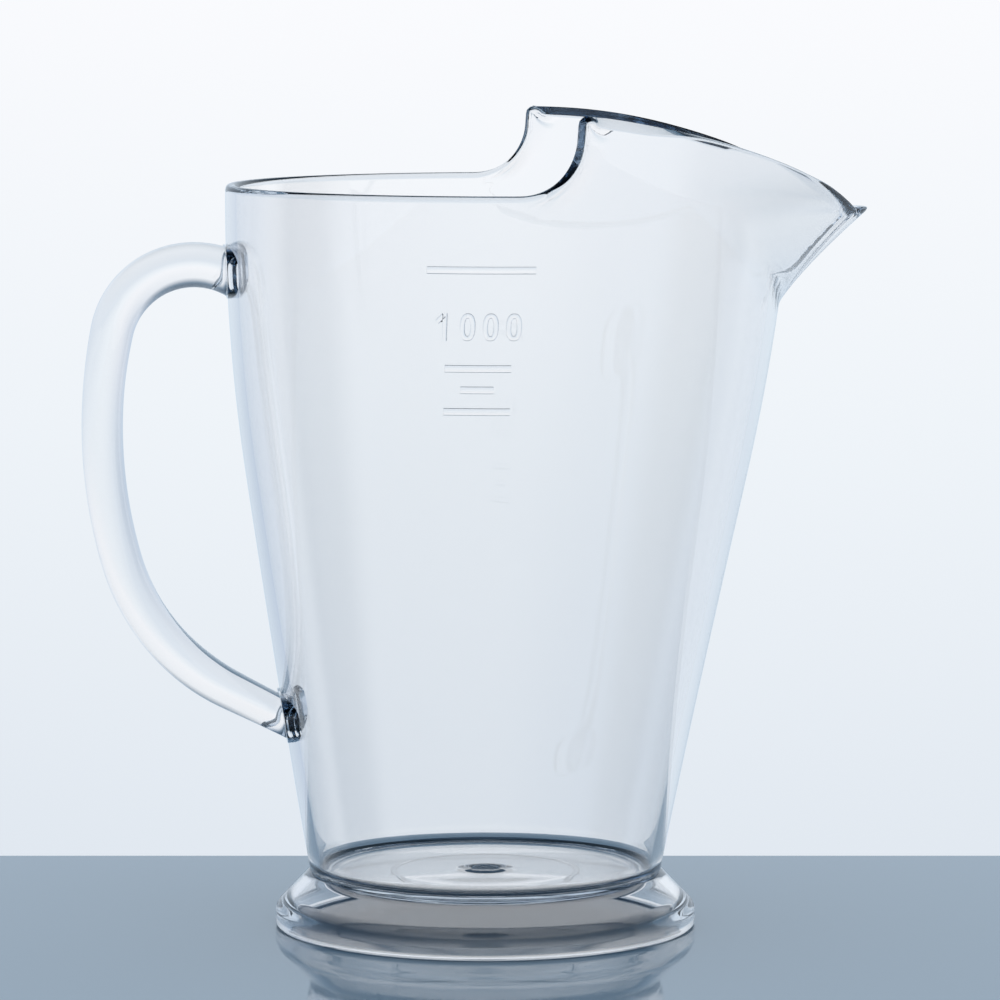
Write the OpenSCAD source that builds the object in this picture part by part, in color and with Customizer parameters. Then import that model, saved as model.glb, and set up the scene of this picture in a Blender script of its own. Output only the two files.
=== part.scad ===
// Beer pitcher moulded in clear plastic: a cup with a spout and a raised guard,
// a solid bar handle and a hollow foot ring.
// X runs to the spout, Z is up, and the origin is the centre of the foot on the table.

/* [Cup] */
// Outer radius of the cup where it stands on the foot
waist_r = 40.1; // [38.5:0.1:42]
// Height of that joint above the table
foot_h = 12.5; // [11.5:0.1:14]
// Outer radius of the rim
rim_r = 64.1; // [62:0.1:67]
// How far the centre of the rim lies towards the spout from the centre of the foot
rim_shift = 5.4; // [3:0.1:8]
// Height of the rim above the table
rim_h = 169.4; // [166:0.1:171]
// Height up to which the side is straight, before it bends upright
straight_h = 103; // [90:1:115]
// Outward lean of the side at the rim, in mm for each mm of height
rim_lean = 0.034; // [0:0.002:0.08]
// Thickness of the wall
wall = 2.5; // [2:0.1:3]
// Thickness of the floor
floor_t = 2.8; // [2.2:0.1:4]
// Height of the inside floor above the joint with the foot
floor_rise = 0.3; // [0.2:0.05:1]
// Radius of the inside corner between floor and wall
floor_corner = 3; // [1:0.1:4]

/* [Spout] */
// Depth below the rim at which the spout starts to leave the round cup
spout_drop = 28.9; // [25:0.1:37]
// Depth of the tip of the lip below the rim
lip_drop = 5.4; // [3.5:0.1:8]
// Reach of the tip of the lip from the centre of the foot
lip_x = 88; // [82:0.1:92]
// Outer radius of the nose of the spout
nose_r = 7.9; // [6:0.1:12]

/* [Guard] */
// Rise of the top of the guard above the rim
guard_rise = 17.2; // [15.6:0.1:20]
// How far in front of the foot's centre the rim starts to rise into the guard
guard_x = 2.3; // [-4:0.1:6]
// Radius of the hollow sweep from the rim up into the guard
sweep_r = 13; // [11:0.1:15]
// Slope at which that sweep ends and the edge runs straight up
sweep_slope = 86; // [76:1:88]
// Radius of the corner at the top of the guard
guard_corner = 1.8; // [1.2:0.1:3]
// How far the edge of the guard flares outward
flare = 2; // [0:0.1:3]
// Depth of the flared band below the edge
flare_depth = 6; // [3:0.1:9]

/* [Handle] */
// Width of the handle bar
handle_w = 13; // [11:0.1:17]
// Thickness of the handle bar along the grip
handle_t = 9.4; // [8:0.1:11]
// Added thickness of the bar at its upper root and crown
crown_swell = 0.8; // [0:0.1:2]
// Taper of the bar's thickness from the heel to its lower root
heel_taper = 1; // [0:0.1:1.5]
// Depth of the middle of the upper root below the rim
root_drop = 19.6; // [17.5:0.1:22]
// Slope at which the bar rises from the upper root
root_rise = 23; // [15:1:28]
// Radius of the crown, where the bar bends down
crown_r = 18.7; // [17:0.1:21]
// Angle through which the crown turns
crown_turn = 101; // [97:1:104]
// Radius of the long back of the grip
back_r = 108; // [98:1:116]
// Angle through which the back turns
back_turn = 28; // [26:1:31]
// Radius of the heel, where the bar swings in to the cup
heel_r = 48.5; // [44:0.5:52]
// Angle through which the heel turns
heel_turn = 47; // [43:1:50]
// Widening of the bar on each side where it meets its seat
root_flare = 0.3; // [0:0.1:0.8]
// Length over which the bar widens to its seat
root_flare_l = 0.8; // [0.5:0.1:2]
// How far the flat seats on the cup stand proud of the wall
seat_proud = 0.3; // [0.2:0.05:0.6]
// Width of those seats round the wall
seat_w = 31; // [27:0.1:33]
// How far a seat reaches beyond the bar above and below
seat_rim = 0.3; // [0.1:0.05:0.6]

/* [Foot] */
// Outer radius of the foot at its widest
foot_r = 48.1; // [46.5:0.1:52]
// Wall thickness of the foot
foot_wall = 2.5; // [2:0.1:3]
// Outer radius of the bulge at the bottom of the skirt
bulge_r = 4; // [3.2:0.1:5]
// Height of the foot's widest part above the table
bulge_h = 2.84; // [2.2:0.02:3.4]
// Radius of the edge that the foot stands on
sole_r = 1.2; // [0.8:0.1:1.6]
// Width of the flat ring that touches the table
sole_w = 2.4; // [1.5:0.1:3]
// Wall left between the foot's socket and its outside at the joint
socket_wall = 2.2; // [1.8:0.1:2.6]
// Gap between the cup's spigot and the foot's socket
fit_gap = 0.05; // [0.03:0.01:0.15]

/* [Marks] */
// Volume at the long fill line, in millilitres
fill_ml = 1140; // [1080:5:1150]
// Volume of the highest short rung below it, in millilitres
rung_ml = 900; // [860:5:940]
// Volume between short rungs, in millilitres
rung_step_ml = 50; // [30:5:60]
// Number of short rungs
rung_count = 3; // [1:1:4]
// Length of the fill line along the wall
line_l = 23.6; // [15:0.1:35]
// Length of the longer rungs along the wall
rung_l = 14.4; // [8:0.1:20]
// Height of each raised line
line_w = 1.6; // [1:0.1:2.5]
// How far the raised lines stand out of the wall
relief = 0.35; // [0.2:0.05:0.6]
// Direction of the middle of the marks, round from the spout
marks_turn = -99.6; // [-110:0.2:-80]

/* [Hidden] */

// How fast the centre of the cup moves to the spout on its way up
SHIFT_POWER = 1.36;
// How fast the spout leaves the cup
SPOUT_POWER = 1.3;
// Height over which the spout turns upright above the lip
SPOUT_EASE = 8;
// Shape of the guard's falling top edge: a slow fall, and a share that drops just before the lip
EDGE_POWER = 1.36;
LIP_POWER = 6;
LIP_SHARE = 0.25;
// Length of the level end of the lip
LIP_FLAT = 3.5;
// Where along X the flare starts to fade, and over what length
FLARE_FADE_X = 32;
FLARE_FADE_L = 24;
// Height of the rounding at the free edge
EDGE_ROUND = 0.7;
// Drop of the crest's two sides below its middle, and their share of the wall's thickness
EDGE_LIFT = 0.05;
EDGE_SHARE = 0.15;
// Depth of a handle seat's root, measured from its face
SEAT_REACH = 4;
// Squareness of the bar's cross-section and of its seats, where 2 is a plain ellipse
BAR_SHAPE = 2.4;
SEAT_SHAPE = 3.2;
// Length over which the bar thins to its lower root
TAPER_L = 24;
// Length over which the square ends of the bar turn into its slanted faces
SLANT_L = 14;
// Radius and depth of the mark left in the floor by the mould's gate
GATE_R = 3.3;
GATE_DEPTH = 0.4;
// Radius, width and depth of a ring in the floor's underside
RING_R = 21;
RING_W = 1.2;
RING_DEPTH = 0.4;
// Small step in mm, for slopes and for surfaces that must not coincide
EPS = 0.01;
// Number of halvings in a search
HALVINGS = 24;
// Sides of a full round, and of the bar's cross-section
ROUND_SIDES = 96;
BAR_SIDES = 28;
// Points along the crown, back, heel and last straight of the bar
CROWN_STEPS = 16;
BACK_STEPS = 8;
HEEL_STEPS = 8;
RUN_STEPS = 3;
// Columns of points on the handle side and on the spout side, and how they bunch at the spout
BACK_COLS = 14;
SPOUT_COLS = 18;
SPOUT_BUNCH = 1.5;
// Turn between the columns on the guard's sweep
SWEEP_STEP = 12;
SWEEP_LAST = 60;
// Levels on the straight side and on the bend, and shares of the height above the spout's start
LOW_STEPS = 5;
MID_STEPS = 3;
HIGH_SHARES = [0.15, 0.3, 0.45, 0.6, 0.72, 0.83, 0.92];
// Turn between points on the corner of the inside floor, and on the foot's bulge and sole
FLOOR_STEP = 22.5;
BULGE_STEP = 7.5;
SOLE_STEP = 15;
// Slices in the sum for the cup's volume
SLABS = 48;

floor_z = foot_h + floor_rise;
spigot_r = waist_r - socket_wall;

// Heights that follow the rim
spout_h = rim_h - spout_drop;
lip_h = rim_h - lip_drop;
guard_h = rim_h + guard_rise;
root_h = rim_h - root_drop;

// Side of the cup: a straight flare that bends upright on its way to the rim
straight_slope = (rim_r - waist_r - rim_lean * (rim_h - straight_h) / 2)
    / (straight_h - foot_h + (rim_h - straight_h) / 2);
bend = (straight_slope - rim_lean) / (2 * (rim_h - straight_h));
function cup_r(z) = waist_r + straight_slope * (z - foot_h) - bend * pow(max(0, z - straight_h), 2);
function cup_x(z) = rim_shift * pow(max(0, z - foot_h) / (rim_h - foot_h), SHIFT_POWER);

// Reach of the spout beyond the round cup
spout_reach = lip_x - cup_x(lip_h) - cup_r(lip_h);
spout_slope = SPOUT_POWER * spout_reach / (lip_h - spout_h);
function spout_out(z) = z <= spout_h ? 0
    : z <= lip_h ? spout_reach * pow((z - spout_h) / (lip_h - spout_h), SPOUT_POWER)
    : spout_reach + spout_slope * SPOUT_EASE * (1 - exp((lip_h - z) / SPOUT_EASE));
function nose_x(z) = cup_x(z) + cup_r(z) + spout_out(z);
function nose_slope(z) = (nose_x(z + EPS) - nose_x(z - EPS)) / (2 * EPS);

// Extra thickness that keeps the wall even where the spout leans far out
function lean_gain(z, inset) = inset * (sqrt(1 + pow(nose_slope(z), 2)) - 1);

// One level of the cup is a circle with a smaller nose circle, joined by straight cheeks.
// Each gives the nose circle's centre and the direction in which a cheek faces.
function nose_c(z, inset) = nose_x(z) - nose_r - lean_gain(z, inset);
function cheek_dir(z, inset) = let (k = (cup_r(z) - nose_r) / max(EPS, nose_c(z, inset) - cup_x(z)))
    k >= 1 ? 0 : acos(k);

function around(c, r, dir) = [c + r * cos(dir), r * sin(dir)];

// Point on a level, for a direction from 0 at the spout to 180 at the handle
function level_point(dir, z, inset) =
    let (
        r = cup_r(z) - inset,
        n = nose_r - inset,
        c = nose_c(z, inset),
        d = cheek_dir(z, inset)
    )
    dir >= d ? around(cup_x(z), r, dir)
    : let (
        nose_l = n * d * PI / 180,
        cheek_l = norm(around(cup_x(z), r, d) - around(c, n, d)),
        at = dir / d * (nose_l + cheek_l)
    )
    at <= nose_l ? around(c, n, at / n * 180 / PI)
    : around(c, n, d) + (at - nose_l) / cheek_l * (around(cup_x(z), r, d) - around(c, n, d));

// Direction in which the wall faces at that point
function level_facing(dir, z) = max(dir, cheek_dir(z, 0));

// Free edge of the cup, as a height for each X: rim, hollow sweep, straight rise, corner, falling top
sweep_end = [guard_x + sweep_r * sin(sweep_slope), rim_h + sweep_r * (1 - cos(sweep_slope))];
corner_z = guard_h - guard_corner;
corner_x = sweep_end.x + (corner_z - sweep_end.y) / tan(sweep_slope) + guard_corner / sin(sweep_slope);
corner_start = corner_x - guard_corner * sin(sweep_slope);
function fall(t) = (1 - LIP_SHARE) * pow(t, EDGE_POWER) + LIP_SHARE * pow(t, LIP_POWER);
function edge_h(x) =
    x <= guard_x ? rim_h
    : x <= sweep_end.x ? rim_h + sweep_r - sqrt(pow(sweep_r, 2) - pow(x - guard_x, 2))
    : x <= corner_start ? sweep_end.y + (x - sweep_end.x) * tan(sweep_slope)
    : x <= corner_x ? corner_z + sqrt(pow(guard_corner, 2) - pow(corner_x - x, 2))
    : guard_h - (guard_h - lip_h) * fall(min(1, (x - corner_x) / (lip_x - LIP_FLAT - corner_x)));
function edge_slope(x) = (edge_h(x + EPS) - edge_h(x - EPS)) / (2 * EPS);

// Height of the free edge in one direction, found by halving
function edge_z(dir, low = spout_h, high = guard_h + 1, left = HALVINGS) =
    let (mid = (low + high) / 2)
    left == 0 ? mid
    : mid > edge_h(level_point(dir, mid, 0).x) ? edge_z(dir, low, mid, left - 1)
    : edge_z(dir, mid, high, left - 1);

// Outward flare near the guard's edge
function ease(t) = let (u = min(1, max(0, t))) u * u * (3 - 2 * u);
function flare_out(x, z) =
    let (below = (edge_h(x) - z) / sqrt(1 + pow(edge_slope(x), 2)))
    flare * ease((x - guard_x) / sweep_r) * (1 - ease((x - FLARE_FADE_X) / FLARE_FADE_L))
    * pow(max(0, 1 - max(0, below) / flare_depth), 2);

function wall_point(dir, z, inset) =
    let (
        p = level_point(dir, z, inset),
        q = level_point(dir, z, 0),
        face = level_facing(dir, z),
        out = flare_out(q.x, z)
    )
    [p.x + out * cos(face), p.y + out * sin(face), z];

// Directions of the columns of points on one half: handle side, sweep, corner, spout
function rim_dir(x) = acos((x - cup_x(rim_h)) / cup_r(rim_h));
sweep_dirs = [for (a = [0:SWEEP_STEP:SWEEP_LAST]) rim_dir(guard_x + sweep_r * sin(a))];
corner_dirs = [for (x = [sweep_end.x, corner_start, (corner_start + corner_x) / 2, corner_x]) rim_dir(x)];
back_dirs = [for (i = [0:BACK_COLS - 1]) 180 + (sweep_dirs[0] - 180) * i / BACK_COLS];
spout_dirs = [for (i = [1:SPOUT_COLS]) corner_dirs[3] * pow(1 - i / SPOUT_COLS, SPOUT_BUNCH)];
half_dirs = concat(back_dirs, sweep_dirs, corner_dirs, spout_dirs);
HALF = len(half_dirs);
COLS = 2 * HALF - 2;

// Levels of the side below the spout
low_levels = [for (t = [0:LOW_STEPS]) foot_h + (straight_h - foot_h) * t / LOW_STEPS];
mid_levels = [for (t = [1:MID_STEPS]) straight_h + (spout_h - straight_h) * t / MID_STEPS];

function side(dir, inset, first) =
    let (top = edge_z(dir) - EDGE_ROUND)
    concat(
        [for (z = concat(low_levels, mid_levels)) if (z > first) wall_point(dir, z, inset)],
        [for (s = HIGH_SHARES) wall_point(dir, spout_h + (top - spout_h) * s, inset)],
        [wall_point(dir, top, inset)]
    );

// Inside corner and floor of one column
function floor_run(dir) =
    let (r = cup_r(floor_z + floor_corner) - wall, x = cup_x(floor_z + floor_corner))
    [for (a = [0:FLOOR_STEP:90])
        let (q = r - floor_corner * (1 - sin(a)))
        [x + q * cos(dir), q * sin(dir), floor_z + floor_corner * (1 - cos(a))]];

// One column of points: up the outside, over the edge and down the inside to the floor
function column(dir) =
    let (
        top = edge_z(dir),
        outer = concat([wall_point(dir, foot_h, 0)], side(dir, 0, foot_h + EPS)),
        inner = concat(floor_run(dir), side(dir, wall, floor_z + floor_corner + EPS)),
        crest = [for (s = [EDGE_SHARE, 1 - EDGE_SHARE]) wall_point(dir, top - EDGE_LIFT, wall * s)]
    )
    concat(outer, crest, [for (i = [len(inner) - 1:-1:0]) inner[i]]);

half_columns = [for (d = half_dirs) column(d)];
columns = concat(half_columns, [for (i = [HALF - 2:-1:1]) [for (p = half_columns[i]) [p.x, -p.y, p.z]]]);
ROWS = len(half_columns[0]);

// Closed skin of the cup without its spigot and handle seats
module cup_shell() {
    points = concat(
        [for (c = columns) each c],
        [[0, 0, foot_h], [cup_x(floor_z + floor_corner), 0, floor_z]]
    );
    under = COLS * ROWS;
    over = under + 1;
    faces = [for (i = [0:COLS - 1]) let (j = (i + 1) % COLS) each concat(
        [for (k = [0:ROWS - 2]) each [
            [i * ROWS + k, j * ROWS + k + 1, i * ROWS + k + 1],
            [i * ROWS + k, j * ROWS + k, j * ROWS + k + 1]
        ]],
        [[under, j * ROWS, i * ROWS], [over, i * ROWS + ROWS - 1, j * ROWS + ROWS - 1]]
    )];
    polyhedron(points, faces, convexity = 8);
}

// Volume of the cup up to a height, in millilitres, and the height of a volume
function area_in(z) = PI * pow(cup_r(z) - wall, 2);
function volume_to(z) =
    let (
        step = (z - floor_z) / SLABS,
        parts = [for (i = [0:SLABS - 1]) area_in(floor_z + step * (i + 0.5))]
    )
    (parts * [for (p = parts) step]
    - 2 * PI * (cup_r(floor_z) - wall) * pow(floor_corner, 2) * (1 - PI / 4)) / 1000;
function height_of(ml, low = floor_z + floor_corner, high = rim_h - line_w, left = HALVINGS) =
    let (mid = (low + high) / 2)
    left == 0 ? mid
    : volume_to(mid) > ml ? height_of(ml, low, mid, left - 1)
    : height_of(ml, mid, high, left - 1);

// Raised line that follows the round wall
module raised_line(z, length) {
    r = cup_r(z);
    turn = length / r * 180 / PI;
    translate([cup_x(z), 0, z])
        rotate([0, 0, marks_turn - turn / 2])
        rotate_extrude(angle = turn, $fn = ROUND_SIDES)
        translate([r - wall / 2, -line_w / 2])
        square([wall / 2 + relief, line_w]);
}

// Path of the handle bar in the plane y = 0, as lists of [x, z, heading]
function wall_x(z) = cup_x(z) - cup_r(z) - seat_proud;
function wall_tilt(z) = atan((wall_x(z + EPS) - wall_x(z - EPS)) / (2 * EPS));
function arc_end(from, r, turn) =
    let (h = from[2])
    [from[0] + r * (sin(h + turn) - sin(h)), from[1] - r * (cos(h + turn) - cos(h)), h + turn];
function arc(from, r, turn, steps) = [for (i = [1:steps]) arc_end(from, r, turn * i / steps)];
bar_start = [wall_x(root_h), root_h, 180 - root_rise];
crown = arc(bar_start, crown_r, crown_turn, CROWN_STEPS);
back = arc(crown[CROWN_STEPS - 1], back_r, back_turn, BACK_STEPS);
heel = arc(back[BACK_STEPS - 1], heel_r, heel_turn, HEEL_STEPS);
heel_end = heel[HEEL_STEPS - 1];

// The last stretch runs straight until it meets the wall
function run_to_wall(low = 0, high = rim_r, left = HALVINGS) =
    let (mid = (low + high) / 2, h = heel_end[2])
    left == 0 ? mid
    : heel_end[0] + mid * cos(h) > wall_x(heel_end[1] + mid * sin(h)) ? run_to_wall(low, mid, left - 1)
    : run_to_wall(mid, high, left - 1);
run_l = run_to_wall();
function run_point(s) =
    let (h = heel_end[2])
    [heel_end[0] + s * cos(h), heel_end[1] + s * sin(h), h];
bar_end = run_point(run_l);
last_run = [for (i = [1:RUN_STEPS]) run_point(run_l * i / RUN_STEPS)];
bar_path = concat([bar_start], crown, back, heel, last_run);

// Length along the path up to each point
function path_lengths(i = 1, sum = 0) = i > len(bar_path) ? []
    : concat([sum], path_lengths(i + 1, i == len(bar_path) ? sum
        : sum + norm([bar_path[i][0] - bar_path[i - 1][0], bar_path[i][1] - bar_path[i - 1][1]])));
lengths = path_lengths();
bar_l = lengths[len(bar_path) - 1];
crown_l = lengths[CROWN_STEPS];

// Cross-section of the bar: an oval that widens where it meets its seats
function near_root(s) = pow(max(0, 1 - min(s, bar_l - s) / root_flare_l), 2);
function bar_t(s) = handle_t + crown_swell * (1 - ease((s - crown_l / 2) / crown_l))
    - heel_taper * ease(1 - (bar_l - s) / TAPER_L);
function oval(a, w, t, n) = [
    w / 2 * sign(cos(a)) * pow(abs(cos(a)), 2 / n),
    t / 2 * sign(sin(a)) * pow(abs(sin(a)), 2 / n)
];
function bar_oval(a, s) = oval(a, handle_w + 2 * root_flare * near_root(s), bar_t(s), BAR_SHAPE);

// How far a point slides along the bar for each mm off its middle, so that the ends lie on their seats
upper_slant = bar_start[2] - 180 + wall_tilt(root_h);
lower_slant = bar_end[2] - 360 + wall_tilt(bar_end[1]);
function slide(s) = tan(upper_slant) * max(0, 1 - s / SLANT_L)
    + tan(lower_slant) * max(0, 1 - (bar_l - s) / SLANT_L);
function bar_ring(i) =
    let (p = bar_path[i], h = p[2], s = lengths[i])
    [for (k = [0:BAR_SIDES - 1])
        let (q = bar_oval(360 * k / BAR_SIDES, s), go = q[1] * slide(s))
        [p[0] - q[1] * sin(h) + go * cos(h), q[0], p[1] + q[1] * cos(h) + go * sin(h)]];

// Flat seat for one end of the bar, a little taller than the bar where it is cut at a slant
module seat(p, slant, s) {
    seat_t = bar_t(s) / cos(slant) + 2 * seat_rim;
    outline = [for (k = [0:BAR_SIDES - 1])
        let (q = oval(360 * k / BAR_SIDES, seat_w, seat_t, SEAT_SHAPE))
        [q[1], q[0]]];
    low = p[1] - seat_t;
    high = p[1] + seat_t;
    difference() {
        translate([p[0], 0, p[1]])
            rotate([0, 90 + wall_tilt(p[1]), 0])
            linear_extrude(height = SEAT_REACH)
            polygon(outline);
        // The root ends in the middle of the curved wall
        translate([cup_x(p[1]), 0, low])
            cylinder(h = high - low, r1 = cup_r(low) - wall / 2, r2 = cup_r(high) - wall / 2, $fn = ROUND_SIDES);
    }
}

// Cup with its spout, guard, floor, spigot, handle seats and raised lines in one moulding
module cup_body() {
    color("lightsteelblue", 0.6)
    difference() {
        union() {
            cup_shell();
            translate([0, 0, floor_z - floor_t])
                cylinder(h = floor_t - floor_rise / 2, r = spigot_r, $fn = ROUND_SIDES);
            seat(bar_start, upper_slant, 0);
            seat(bar_end, lower_slant, bar_l);
            raised_line(height_of(fill_ml), line_l);
            for (i = [0:rung_count - 1])
                raised_line(height_of(rung_ml - i * rung_step_ml), i % 2 == 0 ? rung_l : rung_l / 2);
        }
        translate([0, 0, floor_z - GATE_DEPTH])
            cylinder(h = 2 * GATE_DEPTH, r = GATE_R, $fn = ROUND_SIDES);
        translate([0, 0, floor_z - floor_t])
            rotate_extrude($fn = ROUND_SIDES)
            translate([RING_R - RING_W / 2, -RING_DEPTH])
            square([RING_W, 2 * RING_DEPTH]);
    }
}

// Solid bar handle, welded by its two flat ends to the seats on the cup
module handle_bar() {
    last = len(bar_path) - 1;
    points = [for (i = [0:last]) each bar_ring(i)];
    faces = concat(
        [[for (k = [0:BAR_SIDES - 1]) k]],
        [for (i = [0:last - 1], k = [0:BAR_SIDES - 1])
            let (m = (k + 1) % BAR_SIDES, a = i * BAR_SIDES, b = a + BAR_SIDES)
            each [[a + m, a + k, b + k], [a + m, b + k, b + m]]],
        [[for (k = [BAR_SIDES - 1:-1:0]) last * BAR_SIDES + k]]
    );
    color("aliceblue", 0.7)
        polyhedron(points, faces, convexity = 6);
}

// Half section of the foot: slanted skirt, round bulge and flat sole, hollow inside, with a socket on top
module foot_section() {
    joint = [waist_r, foot_h];
    bulge_c = [foot_r - bulge_r, bulge_h];
    sole_c = [foot_r - sole_r, sole_r];
    socket_r = spigot_r + fit_gap;
    socket_z = floor_z - floor_t - fit_gap;
    inner_r = foot_r - sole_r - sole_w;
    // The skirt runs down from the joint and touches the bulge
    run = bulge_c - joint;
    skirt_slope = atan2(-run.y, run.x) - asin(bulge_r / norm(run));
    difference() {
        polygon(concat(
            [[0, 0], [0, foot_h], joint],
            [for (a = [90 - skirt_slope:-BULGE_STEP:0]) bulge_c + bulge_r * [cos(a), sin(a)]],
            [for (a = [0:-SOLE_STEP:-90]) sole_c + sole_r * [cos(a), sin(a)]]
        ));
        // Hollow below the skirt
        intersection() {
            square([inner_r, foot_h]);
            translate(joint)
                rotate(-skirt_slope)
                translate([-foot_r, -foot_r - foot_wall])
                square([2 * foot_r, foot_r]);
        }
        // Bevel inside the sole
        polygon([[0, 0], [inner_r + sole_r / 2, 0], [inner_r - sole_r / 2, sole_r]]);
        // Socket for the spigot
        translate([0, socket_z])
            square([socket_r, foot_h]);
    }
}

// Hollow foot ring that the cup's spigot drops into
module foot_ring() {
    color("lightsteelblue", 0.8)
        rotate_extrude($fn = ROUND_SIDES)
        foot_section();
}

cup_body();
handle_bar();
foot_ring();
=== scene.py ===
import math

import bpy
import numpy as np
from mathutils import Matrix, Vector


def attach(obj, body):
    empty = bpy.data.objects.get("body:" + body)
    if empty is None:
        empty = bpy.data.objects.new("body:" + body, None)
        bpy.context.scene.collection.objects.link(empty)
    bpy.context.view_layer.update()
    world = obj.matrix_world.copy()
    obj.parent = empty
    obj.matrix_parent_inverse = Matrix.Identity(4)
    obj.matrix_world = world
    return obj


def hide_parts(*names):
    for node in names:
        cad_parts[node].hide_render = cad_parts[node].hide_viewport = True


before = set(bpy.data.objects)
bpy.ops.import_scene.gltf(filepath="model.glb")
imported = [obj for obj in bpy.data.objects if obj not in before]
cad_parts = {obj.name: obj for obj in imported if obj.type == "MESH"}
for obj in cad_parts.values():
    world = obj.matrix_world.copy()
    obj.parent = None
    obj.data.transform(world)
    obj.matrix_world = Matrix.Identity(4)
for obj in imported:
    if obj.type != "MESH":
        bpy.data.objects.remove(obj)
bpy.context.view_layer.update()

# All sizes are in millimetres and all angles in radians, unless a name says otherwise
MM = 0.001
FULL_TURN = 2 * math.pi
QUARTER_TURN = math.pi / 2
# Step over which a slope is taken, least shift and turn of the nose, and how often a search halves its range
SLOPE_STEP = 0.01
LEAST_SHIFT = 0.01
LEAST_TURN = 1e-6
HALVINGS = 40

# Cup: driving sizes, the same as the solids have
WAIST_R = 40.1
FOOT_H = 12.5
RIM_R = 64.1
RIM_SHIFT = 5.4
RIM_H = 169.4
STRAIGHT_H = 103
RIM_LEAN = 0.034
WALL = 2.5
FLOOR_T = 2.8
FLOOR_RISE = 0.3
FLOOR_CORNER = 3
SHIFT_POWER = 1.36
SOCKET_WALL = 2.2
GATE_R = 3.3
GATE_DEPTH = 0.4
RING_R = 21
RING_W = 1.2
RING_DEPTH = 0.4

# Cup: small finishing sizes. The ring under the floor and the gate mark have slanted sides.
UNDER_FIRST_R = 4
RING_DRAFT = 0.2
GATE_DRAFT = 0.3
SPIGOT_ROUND = 0.4
JOINT_ROUND = 0.3

# Spout, with a rounded crease on its inside where each cheek meets the nose
SPOUT_H = RIM_H - 28.9
LIP_H = RIM_H - 5.4
LIP_X = 88
NOSE_R = 7.9
SPOUT_POWER = 1.3
SPOUT_EASE = 8
CREASE = 0.45
CREASE_W = 0.55
CREASE_FROM = SPOUT_H + 2
CREASE_RISE = 8

# Guard
GUARD_H = RIM_H + 17.2
GUARD_X = 2.3
SWEEP_R = 13
SWEEP_SLOPE = math.radians(86)
GUARD_CORNER = 1.8
EDGE_POWER = 1.36
LIP_POWER = 6
LIP_SHARE = 0.25
LIP_FLAT = 3.5
FLARE = 2
FLARE_DEPTH = 6

# Slant of the guard's top edge: how much lower its outer corner is than its inner one, at the back and in
# front. Each fade runs between two places along X.
SLANT_BACK = 2.4
SLANT_FRONT = 0.7
SLANT_START = 4
NEAR_SLANT_FADE = (28, 46)
FAR_SLANT_FADE = (56, 72)
LIP_LEVEL = (70, 80)
# Depth below the edge over which its slant runs out, and the least rise that its levelling counts with, so
# that a wall that leans far out isn't pushed too far
EDGE_ROOM = 10
LEAST_RISE = 0.4
# How far the finished edge stays below the solids' edge
EDGE_SPARE = 0.08

# The far wing is not quite like the near one: its corner is lower and its top edge falls later
FAR_LOW = 1.4
FAR_POWER = 2.15
FAR_FROM = RIM_H - 12
FAR_JOIN = (58, 76)

# Rounding of the free edge's two corners, from the rim to the guard and to the lip
RIM_ROUND = 1.0
GUARD_ROUND = 0.35
LIP_ROUND = 1.0

# Handle
HANDLE_W = 13
HANDLE_T = 9.4
CROWN_SWELL = 0.8
HEEL_TAPER = 1
ROOT_H = RIM_H - 19.6
ROOT_RISE = math.radians(23)
CROWN_R = 18.7
CROWN_TURN = math.radians(101)
BACK_R = 108
BACK_TURN = math.radians(28)
HEEL_R = 48.5
HEEL_TURN = math.radians(47)
ROOT_FLARE = 0.3
ROOT_FLARE_L = 0.8
SEAT_PROUD = 0.3
SEAT_W = 31
SEAT_DRAFT = 0.35
SEAT_RIM = 0.3
BAR_SHAPE = 2.4
SEAT_SHAPE = 3.2
TAPER_L = 24
SLANT_L = 14
GAP_FADE = 1.0
LONGEST_RUN = 60.0

# Foot, with small roundings at its joint and inside its bulge
FOOT_R = 48.1
FOOT_WALL = 2.5
BULGE_R = 4
BULGE_H = 2.84
SOLE_R = 1.2
SOLE_W = 2.4
SOLE_BEVEL = 0.4
FOOT_ROUND = 0.08
HOLLOW_ROUND = 0.8

# Marks: a fill line, short rungs and a plain figure, each at the height of its own volume
FILL_ML = 1140
RUNGS_ML = (900, 850, 800)
FIGURE_ML = 1000
LINE_L = 23.6
RUNG_L = 14.4
LINE_W = 1.6
RELIEF = 0.35
MARKS_TURN = math.radians(-99.6)
FIGURE_H = 6.0
FIGURE_W = 3.4
FIGURE_PITCH = 5.0
FIGURE_STROKE = 1.1
FIGURE_SHAPE = 0.8
FLAG = 1.5
FLAG_GAP = 0.2
# Depth of a raised stroke's root in the wall, and the share of its width that is rounded on each side
STROKE_ROOT = 0.7
STROKE_ROUND = 0.3

# Hair gap that keeps joined pieces from sharing a face
HAIR = 0.05

# How finely the shapes are drawn: distances between columns, counts of points or rows, and the angle in
# degrees from which an edge stays sharp
COLUMN_STEP = 0.9
LIP_STEP = 0.3
LIP_FINE = 14
RIM_POINTS = 400
SWEEP_POINTS = 120
CORNER_POINTS = 60
TOP_POINTS = 500
ROUND_STEPS = 5
SPREAD_ROWS = 34
SPREAD_POWER = 1.5
LOW_ROWS = 60
FLOOR_RINGS = 9
UNDER_RINGS = 6
CROWN_STEPS = 60
BACK_STEPS = 40
HEEL_STEPS = 40
RUN_STEPS = 12
BAR_SIDES = 72
SEAT_RINGS = 8
FOOT_SIDES = 288
SEAT_TRIES = 4
SHARP_ANGLE = 35
VOLUME_SLABS = 48
VOLUME_LEVELS = 2000
LINE_POINTS = 40
STEM_POINTS = 10
FLAG_POINTS = 6
NOUGHT_POINTS = 40
CORNER_ROWS = 10

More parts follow.
